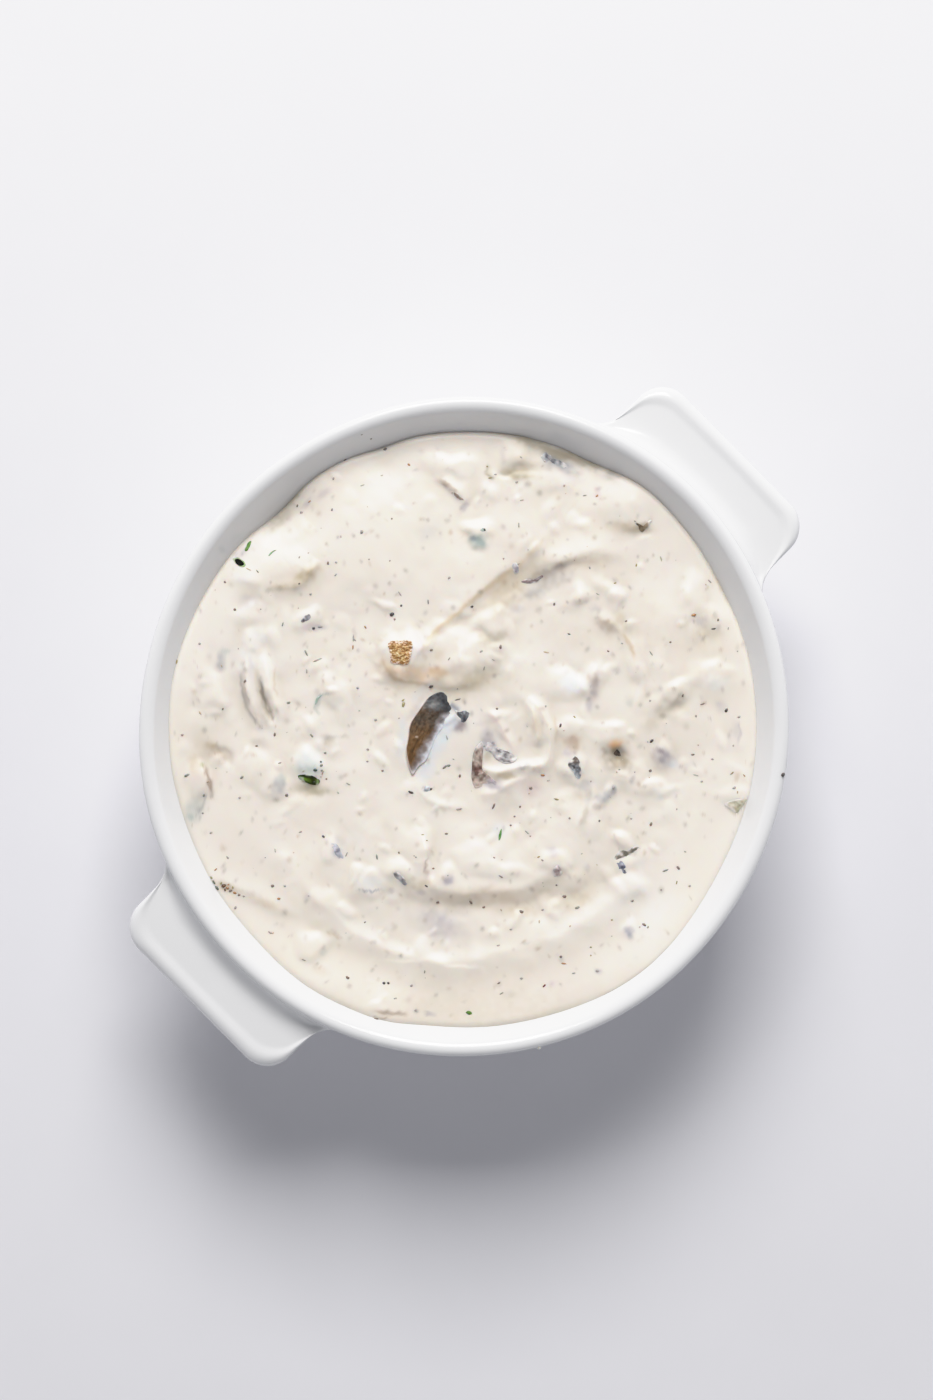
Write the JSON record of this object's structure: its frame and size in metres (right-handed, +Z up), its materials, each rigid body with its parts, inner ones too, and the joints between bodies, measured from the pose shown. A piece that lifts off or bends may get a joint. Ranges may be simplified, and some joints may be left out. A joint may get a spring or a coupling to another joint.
{
  "type": "bowl of ranch dressing",
  "caption": "Round eared dish with two lug handles, filled with thick creamy dressing that shows spoon swirls and pieces of mushroom and spring onion.",
  "frame": {"origin": "middle of the bottom of the bounding box, under the middle of the dish on the plane of its foot ring", "axes": "+X towards one lug handle, +Y across the dish, +Z up out of the dish"},
  "size_m": [0.1822, 0.1508, 0.05],
  "materials": {
    "glaze": "gloss",
    "dressing": "satin",
    "browned_mushroom": "gloss",
    "cooked_mushroom": "satin",
    "mushroom_stem": "matte",
    "spring_onion": "satin",
    "herbs_and_pepper": "matte"
  },
  "bodies": {
    "root": {"bowl": "glaze", "dressing": "dressing", "mushroom_slice": "browned_mushroom", "mushroom_piece": "cooked_mushroom", "mushroom_stem": "mushroom_stem", "spring_onion": "spring_onion"}
  },
  "joints": []
}
